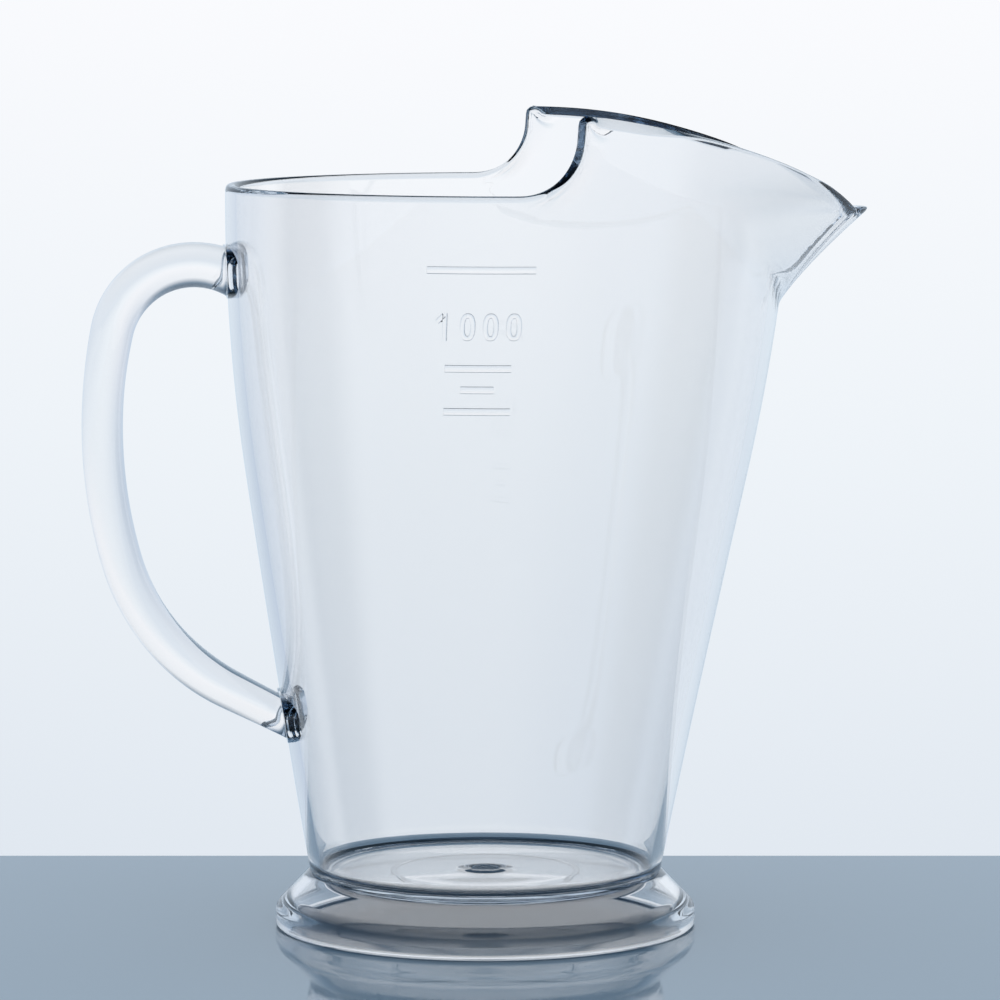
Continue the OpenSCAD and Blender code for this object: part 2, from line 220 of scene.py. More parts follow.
# A column of the wall leaves the edge square to it, with the edge's reach, and comes down upright to a level
# below the spout, with a pull of a share of its height. Down there the columns are evened out over a spread.
EDGE_REACH = 3.2
LOW_Z = SPOUT_H - 4
LOW_PULL = 0.35
LOW_SPREAD = 14

FLOOR_Z = FOOT_H + FLOOR_RISE
SPIGOT_R = WAIST_R - SOCKET_WALL
BEND_H = RIM_H - STRAIGHT_H
SIDE_SLOPE = (RIM_R - WAIST_R - RIM_LEAN * BEND_H / 2) / (STRAIGHT_H - FOOT_H + BEND_H / 2)
BEND = (SIDE_SLOPE - RIM_LEAN) / (2 * BEND_H)


def ease(t):
    u = np.clip(t, 0, 1)
    return u * u * (3 - 2 * u)


def ease_between(value, ends):
    return ease((value - ends[0]) / (ends[1] - ends[0]))


def unit(vectors):
    return vectors / np.linalg.norm(vectors, axis=-1, keepdims=True)


# Shape of the cup: one level is a circle and a smaller nose circle, joined by straight cheeks
def cup_r(z):
    return WAIST_R + SIDE_SLOPE * (z - FOOT_H) - BEND * np.maximum(0, z - STRAIGHT_H) ** 2


def cup_x(z):
    return RIM_SHIFT * (np.maximum(0, z - FOOT_H) / (RIM_H - FOOT_H)) ** SHIFT_POWER


SPOUT_REACH = LIP_X - cup_x(LIP_H) - cup_r(LIP_H)
SPOUT_SLOPE = SPOUT_POWER * SPOUT_REACH / (LIP_H - SPOUT_H)


def spout_out(z):
    rise = SPOUT_REACH * (np.clip((z - SPOUT_H) / (LIP_H - SPOUT_H), 0, 1)) ** SPOUT_POWER
    over = SPOUT_SLOPE * SPOUT_EASE * (1 - np.exp(np.minimum(0, LIP_H - z) / SPOUT_EASE))
    return rise + over


def nose_x(z):
    return cup_x(z) + cup_r(z) + spout_out(z)


def nose_centre(z, inset):
    """Centre of the nose circle, set back so that the wall stays even where the spout leans far out."""
    slope = (nose_x(z + SLOPE_STEP) - nose_x(z - SLOPE_STEP)) / (2 * SLOPE_STEP)
    return nose_x(z) - NOSE_R - inset * (np.sqrt(1 + slope ** 2) - 1)


def cheek_turn(z, inset):
    """Direction in which a cheek faces, never quite zero."""
    k = (cup_r(z) - NOSE_R) / np.maximum(LEAST_SHIFT, nose_centre(z, inset) - cup_x(z))
    return np.maximum(np.arccos(np.clip(k, -1, 1)), LEAST_TURN)


def level_point(turn, z, inset):
    """Point on a level of the cup, for a turn from 0 at the spout to pi at the handle."""
    r = cup_r(z) - inset
    n = NOSE_R - inset
    c = nose_centre(z, inset)
    d = cheek_turn(z, inset)
    big_x, big_y = cup_x(z) + r * np.cos(d), r * np.sin(d)
    small_x, small_y = c + n * np.cos(d), n * np.sin(d)
    nose_l = n * d
    cheek_l = np.hypot(big_x - small_x, big_y - small_y)
    at = np.clip(turn / d, 0, 1) * (nose_l + cheek_l)
    on_nose = np.minimum(at, nose_l) / n
    along = np.clip((at - nose_l) / np.maximum(cheek_l, 1e-9), 0, 1)
    x = np.where(at <= nose_l, c + n * np.cos(on_nose), small_x + along * (big_x - small_x))
    y = np.where(at <= nose_l, n * np.sin(on_nose), small_y + along * (big_y - small_y))
    round_part = turn >= d
    x = np.where(round_part, cup_x(z) + r * np.cos(turn), x)
    y = np.where(round_part, r * np.sin(turn), y)
    return x, y


# Free edge of the cup, in steps along the rim, the sweep, the corner and the falling top
SWEEP_END_X = GUARD_X + SWEEP_R * math.sin(SWEEP_SLOPE)
SWEEP_END_Z = RIM_H + SWEEP_R * (1 - math.cos(SWEEP_SLOPE))
CORNER_Z = GUARD_H - GUARD_CORNER
CORNER_X = (
    SWEEP_END_X + (CORNER_Z - SWEEP_END_Z) / math.tan(SWEEP_SLOPE) + GUARD_CORNER / math.sin(SWEEP_SLOPE)
)


def top_z(x):
    t = np.clip((x - CORNER_X) / (LIP_X - LIP_FLAT - CORNER_X), 0, 1)
    fall = (1 - LIP_SHARE) * t ** EDGE_POWER + LIP_SHARE * t ** LIP_POWER
    return GUARD_H - (GUARD_H - LIP_H) * fall


def turn_of(x, z):
    """Turn at which a level reaches a given x, found by halving."""
    low = np.zeros_like(x)
    high = np.full_like(x, math.pi)
    for _ in range(HALVINGS):
        mid = (low + high) / 2
        beyond = level_point(mid, z, 0)[0] < x
        high = np.where(beyond, mid, high)
        low = np.where(beyond, low, mid)
    return (low + high) / 2


def top_edge(turn):
    """Height of the falling top edge in one direction, found by halving."""
    low = np.full_like(turn, SPOUT_H)
    high = np.full_like(turn, GUARD_H + 1)
    for _ in range(HALVINGS):
        mid = (low + high) / 2
        above = mid > top_z(level_point(turn, mid, 0)[0])
        high = np.where(above, mid, high)
        low = np.where(above, low, mid)
    return (low + high) / 2


def edge_outline():
    """Turn and height of the edge, from the handle round to the tip of the spout."""
    rim_end = turn_of(np.array([GUARD_X]), np.array([RIM_H]))[0]
    rim = np.linspace(math.pi, rim_end, RIM_POINTS)[:-1]
    a = np.linspace(0, SWEEP_SLOPE, SWEEP_POINTS)[:-1]
    b = np.linspace(QUARTER_TURN + SWEEP_SLOPE, QUARTER_TURN, CORNER_POINTS)
    x = np.concatenate([GUARD_X + SWEEP_R * np.sin(a), CORNER_X + GUARD_CORNER * np.cos(b)])
    z = np.concatenate([RIM_H + SWEEP_R * (1 - np.cos(a)), CORNER_Z + GUARD_CORNER * np.sin(b)])
    turn = turn_of(x, z)
    top = np.linspace(turn[-1], 0, TOP_POINTS)[1:]
    return np.concatenate([rim, turn, top]), np.concatenate([np.full(len(rim), RIM_H), z, top_edge(top)])


def smooth_run(values, sigma):
    """Running mean of a list, weighted like a bell, whose ends stay where they are."""
    reach = int(3 * sigma)
    k = np.exp(-0.5 * (np.arange(-reach, reach + 1) / sigma) ** 2)
    before = 2 * values[0] - values[reach:0:-1]
    after = 2 * values[-1] - values[-2:-reach - 2:-1]
    return np.convolve(np.concatenate([before, values, after]), k / k.sum(), "valid")


def edge_columns():
    """Evenly spaced points along the edge, and the turn where each column runs down the side."""
    turn, z = edge_outline()
    x, y = level_point(turn, z, 0)
    length = np.concatenate([[0], np.cumsum(np.sqrt(np.diff(x) ** 2 + np.diff(y) ** 2 + np.diff(z) ** 2))])
    lip_start = length[-1] - LIP_FINE
    even = np.concatenate([
        np.linspace(0, lip_start, int(lip_start / COLUMN_STEP) + 1)[:-1],
        np.linspace(lip_start, length[-1], int(LIP_FINE / LIP_STEP) + 1),
    ])
    turn = np.interp(even, length, turn)
    z = np.interp(even, length, z)
    steady = np.linspace(0, length[-1], int(length[-1] / COLUMN_STEP) + 1)
    low_turn = smooth_run(np.interp(steady, even, turn), LOW_SPREAD / COLUMN_STEP)
    return turn, z, np.interp(even, steady, low_turn)


EDGE_TURN, EDGE_Z, LOW_TURN = edge_columns()
EDGE_X = level_point(EDGE_TURN, EDGE_Z, 0)[0]


def wall_lines(shares):
    """Turn and height on each column, at shares of the way from the edge down to the straight columns."""
    around = -EDGE_TURN * RIM_R
    along = np.gradient(around)
    up = np.gradient(EDGE_Z)
    size = np.hypot(along, up)
    start = np.stack([around, EDGE_Z])
    inward = np.stack([up / size, -along / size])
    low = np.stack([-LOW_TURN * RIM_R, np.full_like(EDGE_Z, LOW_Z)])
    first = start + inward * EDGE_REACH
    last = low + np.stack([np.zeros_like(EDGE_Z), (EDGE_Z - LOW_Z) * LOW_PULL])
    t = shares[:, :, None]
    s = 1 - t
    place = s ** 3 * start.T + 3 * s ** 2 * t * first.T + 3 * s * t ** 2 * last.T + t ** 3 * low.T
    return -place[:, :, 0] / RIM_R, place[:, :, 1]


def wall_rows():
    """Turn, height and half thickness of the wall on each column, from the rounded edge down to the waist."""
    rounding = RIM_ROUND + (GUARD_ROUND - RIM_ROUND) * ease((EDGE_X - GUARD_X) / SWEEP_R)
    rounding = rounding + (LIP_ROUND - GUARD_ROUND) * ease_between(EDGE_X, LIP_LEVEL)
    bend = np.linspace(QUARTER_TURN, 0, ROUND_STEPS + 1)[:, None]
    half_t = (WALL / 2 - rounding) + rounding * np.cos(bend)
    first = rounding * (1 - np.sin(bend)) / (3 * EDGE_REACH)
    steps = np.linspace(0, 1, SPREAD_ROWS)[1:, None] ** SPREAD_POWER
    turn, z = wall_lines(np.concatenate([first, first[-1] + steps * (1 - first[-1])]))
    low_z = np.linspace(LOW_Z, FOOT_H + HAIR, LOW_ROWS)[1:, None]
    low_shape = (LOW_ROWS - 1, len(LOW_TURN))
    turn = np.concatenate([turn, np.broadcast_to(LOW_TURN, low_shape)])
    z = np.concatenate([z, np.broadcast_to(low_z, low_shape)])
    half_t = np.concatenate([half_t, np.full((len(z) - len(half_t), len(LOW_TURN)), WALL / 2)])
    return turn, z, half_t


def nearest_on(path, values, turn, z):
    """Distance over the wall from each point to a path of (turn, height), and the path's value there."""
    best = np.full(turn.shape, np.inf)
    found = np.zeros(turn.shape)
    for (path_turn, path_z), value in zip(path, values):
        distance = np.hypot((turn - path_turn) * RIM_R, z - path_z)
        closer = distance < best
        best = np.where(closer, distance, best)
        found = np.where(closer, value, found)
    return best, found


def guard_bend(turn, z):
    """How far the wall flares outward near the edges where the guard starts."""
    start = (EDGE_X > GUARD_X) & (EDGE_X <= CORNER_X)
    path = np.stack([EDGE_TURN, EDGE_Z], axis=1)[start]
    distance, share = nearest_on(path, ease((EDGE_X[start] - GUARD_X) / SWEEP_R), turn, z)
    return FLARE * share * np.maximum(0, 1 - distance / FLARE_DEPTH) ** 2


def far_drop(x, z):
    """How much lower the far wing is than the near one."""
    fall = np.clip((x - CORNER_X) / (LIP_X - CORNER_X), 0, 1)
    near = top_z(x)
    far = GUARD_H - FAR_LOW - (GUARD_H - FAR_LOW - LIP_H) * fall ** FAR_POWER
    share = np.clip((z - FAR_FROM) / (near - FAR_FROM), 0, 1) ** 2
    return (near - far) * share * ease((x - GUARD_X) / SWEEP_R) * (1 - ease_between(x, FAR_JOIN))


def edge_slant(side):
    """How much lower the edge's outer corner is than its inner one, along the guard's top."""
    fade = ease_between(EDGE_X, FAR_SLANT_FADE if side > 0 else NEAR_SLANT_FADE)
    slant = SLANT_BACK + (SLANT_FRONT - SLANT_BACK) * fade
    return slant * (1 - ease_between(EDGE_X, LIP_LEVEL)) * ease((EDGE_X - SWEEP_END_X) / SLANT_START)


def crease(turn, z):
    """Height of the rounded crease on the inside of the spout, where each flat cheek meets the nose."""
    d = cheek_turn(z, 0)
    c = nose_centre(z, 0)
    across = np.hypot(cup_x(z) + (cup_r(z) - NOSE_R) * np.cos(d) - c, (cup_r(z) - NOSE_R) * np.sin(d))
    distance = turn / d * (NOSE_R * d + across) - NOSE_R * d
    return CREASE * np.exp(-(distance / CREASE_W) ** 2) * ease((z - CREASE_FROM) / CREASE_RISE)


def facing(points, side):
    """Outward direction at each point of a grid."""
    down = np.gradient(points, axis=0)
    along = np.gradient(points, axis=1)
    return unit(np.cross(along, down) * side)


def half_wall(side):
    """Points and half thickness of one half's middle surface, and the height of its crease."""
    turn, z, half_t = wall_rows()
    out_x, out_y = level_point(turn, z, 0)
    in_x, in_y = level_point(turn, z, WALL)
    points = np.stack([out_x + in_x, side * (out_y + in_y), 2 * z], axis=2) / 2
    across = np.stack([out_x - in_x, side * (out_y - in_y), 0 * z], axis=2) / 2
    # The wall keeps the thickness that its two level outlines give it, measured square to its slope
    half_t = half_t / (WALL / 2) * (facing(points, side) * across).sum(axis=2)
    face = np.maximum(turn, cheek_turn(z, 0))
    outward = np.stack([np.cos(face), side * np.sin(face), np.zeros_like(face)], axis=2)
    points = points + outward * guard_bend(turn, z)[:, :, None]
    if side > 0:
        points[:, :, 2] -= far_drop(points[:, :, 0], z)
    return points, half_t, crease(turn, z)


def wall_skins(side):
    """Outer and inner skin of one half of the wall."""
    points, half_t, ridge = half_wall(side)
    normal = facing(points, side)
    up = -np.gradient(points, axis=0)
    # On the plane between the two halves, the wall faces and rises along that plane
    for directions in (normal, up):
        directions[:, [0, -1], 1] = 0
    normal, up = unit(normal), unit(up)
    # Along the guard's top the edge is cut level across the wall, or slanted down to the outside
    room = np.maximum(0, 1 - (points[0, :, 2] - points[:, :, 2]) / EDGE_ROOM)
    on_top = ease((EDGE_X - SWEEP_END_X) / SLANT_START)
    level = -normal[:, :, 2] * half_t / np.maximum(LEAST_RISE, up[:, :, 2]) * on_top * room
    half_slant = edge_slant(side) / 2 * room
    share = half_t / (WALL / 2)
    outer = points + normal * half_t[:, :, None] + up * (level - half_slant * (1 + share))[:, :, None]
    lowered = level + half_slant * (1 - share)
    inner = points - normal * (half_t + ridge)[:, :, None] - up * lowered[:, :, None]
    # Where the edge leans, its upper corner is brought back to just under the edge's own height
    highest = np.maximum(outer[:, :, 2].max(axis=0), inner[:, :, 2].max(axis=0))
    rise = np.maximum(0, highest - points[0, :, 2] + EDGE_SPARE)
    outer[:, :, 2] -= rise * room
    inner[:, :, 2] -= rise * room
    return outer, inner


def under_profile():
    """Radius and height along the cup's underside: the floor with a shallow ring in it, then the spigot."""
    z = FLOOR_Z - FLOOR_T
    ring_in = RING_R - RING_W / 2
    ring_out = RING_R + RING_W / 2
    outside, inside = RING_DRAFT / 4, RING_DRAFT * 3 / 4
    profile = [(r, z) for r in np.linspace(UNDER_FIRST_R, ring_in - outside, UNDER_RINGS)]
    profile += [(ring_in + inside, z + RING_DEPTH), (ring_out - inside, z + RING_DEPTH)]
    profile += [(r, z) for r in np.linspace(ring_out + outside, SPIGOT_R - SPIGOT_ROUND, UNDER_RINGS)]
    profile += [(SPIGOT_R - 0.3 * SPIGOT_ROUND, z + 0.3 * SPIGOT_ROUND), (SPIGOT_R, z + SPIGOT_ROUND)]
    profile += [(SPIGOT_R, FOOT_H - SPIGOT_ROUND), (SPIGOT_R, FOOT_H + HAIR)]
    return profile + [(WAIST_R - JOINT_ROUND, FOOT_H + HAIR)]


def floor_profile():
    """Radius, height and centre along the inside corner, the floor and the gate mark in its middle."""
    r = float(cup_r(FLOOR_Z + FLOOR_CORNER)) - WALL
    x = float(cup_x(FLOOR_Z + FLOOR_CORNER))
    profile = []
    for a in np.linspace(QUARTER_TURN, 0, CORNER_ROWS):
        profile.append((r - FLOOR_CORNER * (1 - math.sin(a)), FLOOR_Z + FLOOR_CORNER * (1 - math.cos(a)), x))
    first = r - 2 * FLOOR_CORNER
    profile += [(v, FLOOR_Z, 0) for v in np.linspace(first, GATE_R + GATE_DRAFT, FLOOR_RINGS)]
    return profile + [(GATE_R, FLOOR_Z - GATE_DEPTH / 2, 0), (GATE_R - GATE_DRAFT, FLOOR_Z - GATE_DEPTH, 0)]


def cup_grid():
    """Rings of points over the whole cup, from the middle of its underside to the middle of its floor."""
    near_outer, near_inner = wall_skins(-1)
    far_outer, far_inner = wall_skins(1)
    # The near half runs from the handle to the spout, and the far half back again
    outer = np.concatenate([near_outer, far_outer[:, -2:0:-1]], axis=1)
    inner = np.concatenate([near_inner, far_inner[:, -2:0:-1]], axis=1)
    turn = np.concatenate([-LOW_TURN, LOW_TURN[-2:0:-1]])

    def ring(r, z, x=0.0):
        return np.stack([x + r * np.cos(turn), r * np.sin(turn), np.full_like(turn, z)], axis=1)

    outer[-1] = ring(WAIST_R, FOOT_H + HAIR)
    keep = int(np.argmax(inner[:, 0, 2] < FLOOR_Z + FLOOR_CORNER + 1))
    under = [ring(r, z) for r, z in under_profile()]
    floor = [ring(r, z, x) for r, z, x in floor_profile()]
    return np.concatenate([np.stack(under), outer[::-1], inner[:keep], np.stack(floor)])


def add_mesh(name, verts, faces):
    mesh = bpy.data.meshes.new(name)
    mesh.from_pydata((np.asarray(verts) * MM).tolist(), [], faces)
    mesh.validate()
    piece = bpy.data.objects.new(name, mesh)
    bpy.context.scene.collection.objects.link(piece)
    return piece


def grid_faces(rows, cols, closed_rows=False):
    """Quads between the rows of a grid whose columns run round in a loop."""
    faces = []
    for i in range(rows if closed_rows else rows - 1):
        j = (i + 1) % rows
        for k in range(cols):
            m = (k + 1) % cols
            faces.append((i * cols + k, i * cols + m, j * cols + m, j * cols + k))
    return faces


def end_faces(rows, cols):
    """One face over each open end of a tube."""
    last = (rows - 1) * cols
    return [tuple(range(cols - 1, -1, -1)), tuple(last + k for k in range(cols))]


def make_cup():
    grid = cup_grid()
    rows, cols = grid.shape[:2]
    verts = grid.reshape(-1, 3).tolist()
    faces = grid_faces(rows, cols)
    low, high = len(verts), len(verts) + 1
    verts.append([0, 0, FLOOR_Z - FLOOR_T])
    verts.append([0, 0, FLOOR_Z - GATE_DEPTH])
    faces += [(low, (k + 1) % cols, k) for k in range(cols)]
    last = (rows - 1) * cols
    faces += [(high, last + k, last + (k + 1) % cols) for k in range(cols)]
    return add_mesh("cup", verts, faces)


# Volume up to a level, so that each raised line sits at its own
def volume_to(z):
    z = np.atleast_1d(z)[:, None]
    step = (z - FLOOR_Z) / VOLUME_SLABS
    mids = FLOOR_Z + step * (np.arange(VOLUME_SLABS) + 0.5)
    corner = FULL_TURN * (cup_r(FLOOR_Z) - WALL) * FLOOR_CORNER ** 2 * (1 - math.pi / 4)
    return ((math.pi * (cup_r(mids) - WALL) ** 2 * step).sum(axis=1) - corner) / 1000


def height_of(millilitres):
    heights = np.linspace(FLOOR_Z + FLOOR_CORNER, RIM_H - LINE_W, VOLUME_LEVELS)
    return float(np.interp(millilitres, volume_to(heights), heights))


def stroke_section():
    """Section of a raised stroke, as shares of its width and heights above the wall."""
    section = [(-0.5, -STROKE_ROOT), (-0.5, 0.0)]
    for a in np.linspace(0, QUARTER_TURN, 5):
        section.append((-0.5 + STROKE_ROUND * (1 - math.cos(a)), RELIEF * math.sin(a)))
    section += [(-s, h) for s, h in section[:1:-1]] + [(0.5, 0.0), (0.5, -STROKE_ROOT)]
    return section[::-1]


def raised_stroke(path, width, closed=False):
    """Rounded ridge on the wall along a path of (distance round the wall, height)."""
    path = np.asarray(path, float)
    if closed:
        ahead = np.roll(path, -1, axis=0) - np.roll(path, 1, axis=0)
    else:
        ahead = np.gradient(path, axis=0)
    ahead = unit(ahead)
    across = np.stack([-ahead[:, 1], ahead[:, 0]], axis=1)
    section = stroke_section()
    verts = []
    for p, n in zip(path, across):
        for share, height in section:
            side, z = p + n * share * width
            r = cup_r(z) + height
            turn = MARKS_TURN + side / cup_r(z)
            verts.append([cup_x(z) + r * math.cos(turn), r * math.sin(turn), z])
    rows, cols = len(path), len(section)
    faces = grid_faces(rows, cols, closed)
    return verts, faces if closed else faces + end_faces(rows, cols)


def level_line(z, length):
    return raised_stroke([(s, z) for s in np.linspace(-length / 2, length / 2, LINE_POINTS)], LINE_W)


def figure_one(side, z):
    """Upright stem with a short slanted flag beside its top."""
    top = z + FIGURE_H / 2
    stem = [(side, v) for v in np.linspace(top, z - FIGURE_H / 2, STEM_POINTS)]
    slant = np.linspace(1, 0, FLAG_POINTS)
    flag = [(side - FLAG_GAP - FLAG * t, top - 2 * FLAG_GAP - FLAG * t) for t in slant]
    return [raised_stroke(stem, FIGURE_STROKE), raised_stroke(flag, FIGURE_STROKE)]


def figure_nought(side, z):
    loop = []
    for a in np.linspace(0, FULL_TURN, NOUGHT_POINTS + 1)[:-1]:
        ca, sa = math.cos(a), math.sin(a)
        s = (FIGURE_W - FIGURE_STROKE) / 2 * math.copysign(abs(ca) ** FIGURE_SHAPE, ca)
        v = (FIGURE_H - FIGURE_STROKE) / 2 * math.copysign(abs(sa) ** FIGURE_SHAPE, sa)
        loop.append((side + s, z + v))
    return raised_stroke(loop, FIGURE_STROKE, closed=True)


def mark_strokes():
    """Fill line, short rungs and the plain figure, one and three noughts, at its own level."""
    strokes = [level_line(height_of(FILL_ML), LINE_L)]
    for i, millilitres in enumerate(RUNGS_ML):
        strokes.append(level_line(height_of(millilitres), RUNG_L if i % 2 == 0 else RUNG_L / 2))
    z = height_of(FIGURE_ML)
    first = -1.5 * FIGURE_PITCH
    strokes += figure_one(first, z)
    strokes += [figure_nought(first + i * FIGURE_PITCH, z) for i in (1, 2, 3)]
    return strokes


# Path of the handle bar in the plane y = 0, as points with a heading
def seat_x(z):
    return float(cup_x(z) - cup_r(z)) - SEAT_PROUD


def seat_tilt(z):
    return math.atan((seat_x(z + SLOPE_STEP) - seat_x(z - SLOPE_STEP)) / (2 * SLOPE_STEP))


def run_to_seat(x, z, h):
    """Length of the last straight run, from a point along a heading to the seat, found by halving."""
    low, high = 0.0, LONGEST_RUN
    for _ in range(HALVINGS):
        mid = (low + high) / 2
        if x + mid * math.cos(h) > seat_x(z + mid * math.sin(h)):
            high = mid
        else:
            low = mid
    return low


def bar_path():
    points = [(seat_x(ROOT_H), ROOT_H, math.pi - ROOT_RISE)]
    arcs = (
        (CROWN_R, CROWN_TURN, CROWN_STEPS),
        (BACK_R, BACK_TURN, BACK_STEPS),
        (HEEL_R, HEEL_TURN, HEEL_STEPS),
    )
    for r, turn, steps in arcs:
        x, z, h = points[-1]
        for i in range(1, steps + 1):
            t = h + turn * i / steps
            points.append((x + r * (math.sin(t) - math.sin(h)), z - r * (math.cos(t) - math.cos(h)), t))
    x, z, h = points[-1]
    run = run_to_seat(x, z, h)
    for i in range(1, RUN_STEPS + 1):
        s = run * i / RUN_STEPS
        points.append((x + s * math.cos(h), z + s * math.sin(h), h))
    return np.array(points)


BAR = bar_path()
BAR_AT = np.concatenate([[0], np.cumsum(np.hypot(*np.diff(BAR[:, :2], axis=0).T))])
BAR_L = BAR_AT[-1]
CROWN_L = BAR_AT[CROWN_STEPS]
UPPER_SLANT = BAR[0, 2] - math.pi + seat_tilt(BAR[0, 1])
LOWER_SLANT = BAR[-1, 2] - FULL_TURN + seat_tilt(BAR[-1, 1])


def near_start(s, length):
    return max(0, 1 - s / length)


def near_end(s, length):
    return max(0, 1 - (BAR_L - s) / length)


def bar_t(s):
    swell = CROWN_SWELL * float(1 - ease((s - CROWN_L / 2) / CROWN_L))
    taper = HEEL_TAPER * float(ease(1 - (BAR_L - s) / TAPER_L))
    return HANDLE_T + swell - taper - 2 * HAIR


def oval(a, w, t, n):
    ca, sa = math.cos(a), math.sin(a)
    return w / 2 * math.copysign(abs(ca) ** (2 / n), ca), t / 2 * math.copysign(abs(sa) ** (2 / n), sa)


def bar_oval(a, s):
    flare = max(near_start(s, ROOT_FLARE_L), near_end(s, ROOT_FLARE_L)) ** 2
    return oval(a, HANDLE_W + 2 * ROOT_FLARE * flare, bar_t(s), BAR_SHAPE)


def make_handle():
    """Solid bar swept along its path, with its two ends cut at a slant so that they lie on their seats."""
    verts = []
    for (x, z, h), s in zip(BAR, BAR_AT):
        slide = math.tan(UPPER_SLANT) * near_start(s, SLANT_L) + math.tan(LOWER_SLANT) * near_end(s, SLANT_L)
        gap = HAIR * (near_start(s, GAP_FADE) - near_end(s, GAP_FADE))
        ch, sh = math.cos(h), math.sin(h)
        for k in range(BAR_SIDES):
            side, up = bar_oval(FULL_TURN * k / BAR_SIDES, s)
            go = up * slide + gap
            verts.append([x - up * sh + go * ch, side, z + up * ch + go * sh])
    faces = grid_faces(len(BAR), BAR_SIDES) + end_faces(len(BAR), BAR_SIDES)
    return add_mesh("handle", verts, faces)


def seat_point(seat, side, up, reach):
    """Point on a seat: across it, up along its face, and in towards the wall."""
    x, z, _ = seat
    tilt = seat_tilt(z)
    ct, st = math.cos(tilt), math.sin(tilt)
    return [x + up * st + reach * ct, side, z + up * ct - reach * st]


def seat_root(seat, side, up):
    """Point in the middle of the curved wall behind a point of the seat's face, and its depth."""
    reach = 0.0
    for _ in range(SEAT_TRIES):
        x, _, z = seat_point(seat, side, up, reach)
        middle = float(cup_r(z)) - WALL / 2
        reach += (float(cup_x(z)) - math.sqrt(middle ** 2 - side ** 2) - x) / math.cos(seat_tilt(seat[1]))
    return seat_point(seat, side, up, reach), reach


def seat_block(seat, slant, s):
    """Flat seat for one end of the bar, with a slight draft, rooted in the middle of the curved wall."""
    height = bar_t(s) / math.cos(slant) + 2 * SEAT_RIM
    outline = [oval(FULL_TURN * k / BAR_SIDES, SEAT_W, height, SEAT_SHAPE) for k in range(BAR_SIDES)]
    verts = [seat_point(seat, side, up, 0) for side, up in outline]
    for i in range(SEAT_RINGS):
        share = 1 - i / SEAT_RINGS
        for side, up in outline:
            point, reach = seat_root(seat, side * share, up * share)
            if i == 0:
                point[1] += math.copysign(SEAT_DRAFT * reach, side) * abs(side) / (SEAT_W / 2)
            verts.append(point)
    faces = grid_faces(SEAT_RINGS + 1, BAR_SIDES)
    faces.append(tuple(range(BAR_SIDES - 1, -1, -1)))
    centre = len(verts)
    verts.append(seat_root(seat, 0.0, 0.0)[0])
    last = SEAT_RINGS * BAR_SIDES
    faces += [(centre, last + k, last + (k + 1) % BAR_SIDES) for k in range(BAR_SIDES)]
    return verts, faces


def arc_points(centre, r, start, end, steps):
    x, z = centre
    return [(x + r * math.cos(a), z + r * math.sin(a)) for a in np.linspace(start, end, steps)]


def foot_profile():
    """Section of the foot: seat and socket on top, slanted skirt, round bulge, flat sole, hollow inside."""
    socket_r = SPIGOT_R + HAIR
    top = FOOT_H - HAIR
    inner_r = FOOT_R - SOLE_R - SOLE_W
    bulge = (FOOT_R - BULGE_R, BULGE_H)
    sole = (FOOT_R - SOLE_R, SOLE_R)
    run = (bulge[0] - WAIST_R, BULGE_H - FOOT_H)
    slope = math.atan2(-run[1], run[0]) - math.asin(BULGE_R / math.hypot(*run))
    skirt_end = bulge[0] + BULGE_R * math.sin(slope)

    def skirt_z(r, inset):
        return FOOT_H - (r - WAIST_R) * math.tan(slope) - inset / math.cos(slope)

    profile = [(socket_r, top), (WAIST_R - JOINT_ROUND, top), (WAIST_R - HAIR, top - FOOT_ROUND)]
    profile += [(r, skirt_z(r, 0)) for r in np.linspace(WAIST_R + JOINT_ROUND, skirt_end - 0.5, 6)]
    profile += arc_points(bulge, BULGE_R, QUARTER_TURN - slope, 0, 12)
    profile += arc_points(sole, SOLE_R, 0, -QUARTER_TURN, 9)
    profile += [(inner_r + SOLE_R / 2, 0), (inner_r + SOLE_BEVEL / 4, SOLE_BEVEL), (inner_r, SOLE_R / 2)]
    soft = HOLLOW_ROUND
    inner_top = skirt_z(inner_r, FOOT_WALL)
    profile += [(inner_r, v) for v in np.linspace(SOLE_R, inner_top - soft, 4)]
    profile += [
        (inner_r - 0.15 * soft, inner_top - 0.35 * soft),
        (inner_r - 0.5 * soft, inner_top + 0.1 * soft),
    ]
    return profile + [(r, skirt_z(r, FOOT_WALL)) for r in np.linspace(inner_r - soft, socket_r, 8)]


def make_foot():
    """Ring turned from the foot's section."""
    profile = foot_profile()
    turns = np.linspace(0, FULL_TURN, FOOT_SIDES + 1)[:-1]
    verts = [[r * math.cos(a), r * math.sin(a), z] for r, z in profile for a in turns]
    faces = [face[::-1] for face in grid_faces(len(profile), FOOT_SIDES, closed_rows=True)]
    return add_mesh("foot", verts, faces)


def join_lists(parts):
    verts, faces = [], []
    for part_verts, part_faces in parts:
        faces += [tuple(i + len(verts) for i in face) for face in part_faces]
        verts += part_verts
    return verts, faces


def unite(piece, parts, name):
    """Fuse raised parts with a piece, so that no face is left inside it."""
    extra = add_mesh(name, *join_lists(parts))
    fuse = piece.modifiers.new("fuse", "BOOLEAN")
    fuse.operation = "UNION"
    fuse.solver = "MANIFOLD"
    fuse.object = extra
    bpy.context.view_layer.update()
    graph = bpy.context.evaluated_depsgraph_get()
    mesh = bpy.data.meshes.new_from_object(piece.evaluated_get(graph))
    piece.modifiers.clear()
    piece.data = mesh
    bpy.data.objects.remove(extra, do_unlink=True)


# Colours are sRGB hex values, turned to linear here
def linear(hex_value, alpha=1.0):
    def channel(v):
        v /= 255
        return v / 12.92 if v <= 0.04045 else ((v + 0.055) / 1.055) ** 2.4

    return tuple(channel((hex_value >> shift) & 255) for shift in (16, 8, 0)) + (alpha,)


